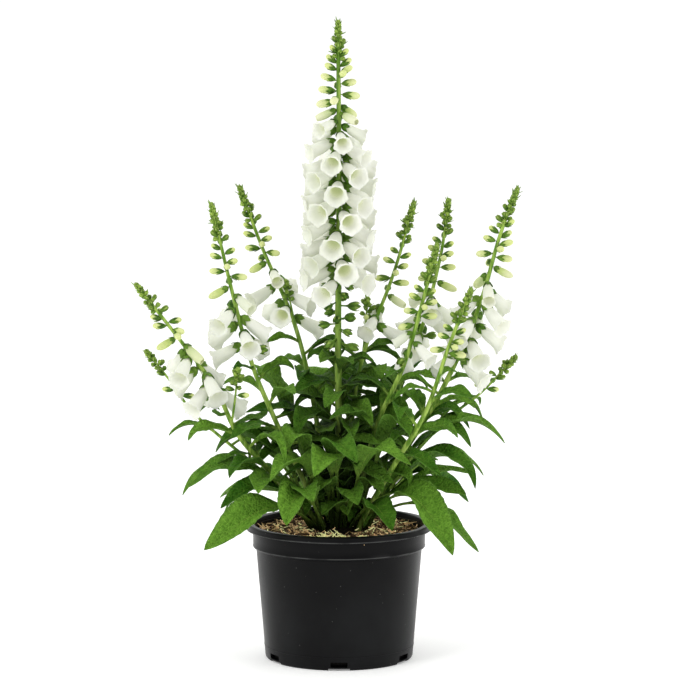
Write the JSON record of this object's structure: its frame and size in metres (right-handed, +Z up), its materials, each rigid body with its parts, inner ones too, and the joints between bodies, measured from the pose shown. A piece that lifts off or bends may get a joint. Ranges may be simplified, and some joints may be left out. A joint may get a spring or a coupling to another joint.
{
  "type": "potted foxglove",
  "caption": "White foxglove in a black nursery pot: a tall flower spike, shorter side spikes with hanging bells, and a mound of lance-shaped leaves.",
  "frame": {"origin": "centre of the pot's underside", "axes": "+Z up along the tall stem; +Y away from the viewer of the picture; +X to its right"},
  "size_m": [0.3975, 0.2546, 0.6664],
  "materials": {
    "black_plastic": "satin black moulded plastic",
    "bark_mix": "rough damp bark and fibre chips",
    "leaf_green": "soft matt leaf with a dull sheen",
    "stem_green": "ribbed green stem with fine hairs",
    "petal_white": "soft off-white petal on green calyces"
  },
  "bodies": {
    "root": {"pot": "black_plastic", "potting_mix": "bark_mix", "crown_leaves": "leaf_green", "main_stem": "stem_green", "left_stem": "stem_green", "far_left_stem": "stem_green", "inner_left_stem": "stem_green", "back_left_stem": "stem_green", "back_stem": "stem_green", "back_right_stem": "stem_green", "inner_right_stem": "stem_green", "right_stem": "stem_green", "front_right_stem": "stem_green", "far_right_stem": "stem_green", "main_spike": "petal_white", "left_spike": "petal_white", "inner_left_spike": "petal_white", "back_left_spike": "petal_white", "back_spike": "petal_white", "back_right_spike": "petal_white", "inner_right_spike": "petal_white", "right_spike": "petal_white"}
  },
  "joints": []
}
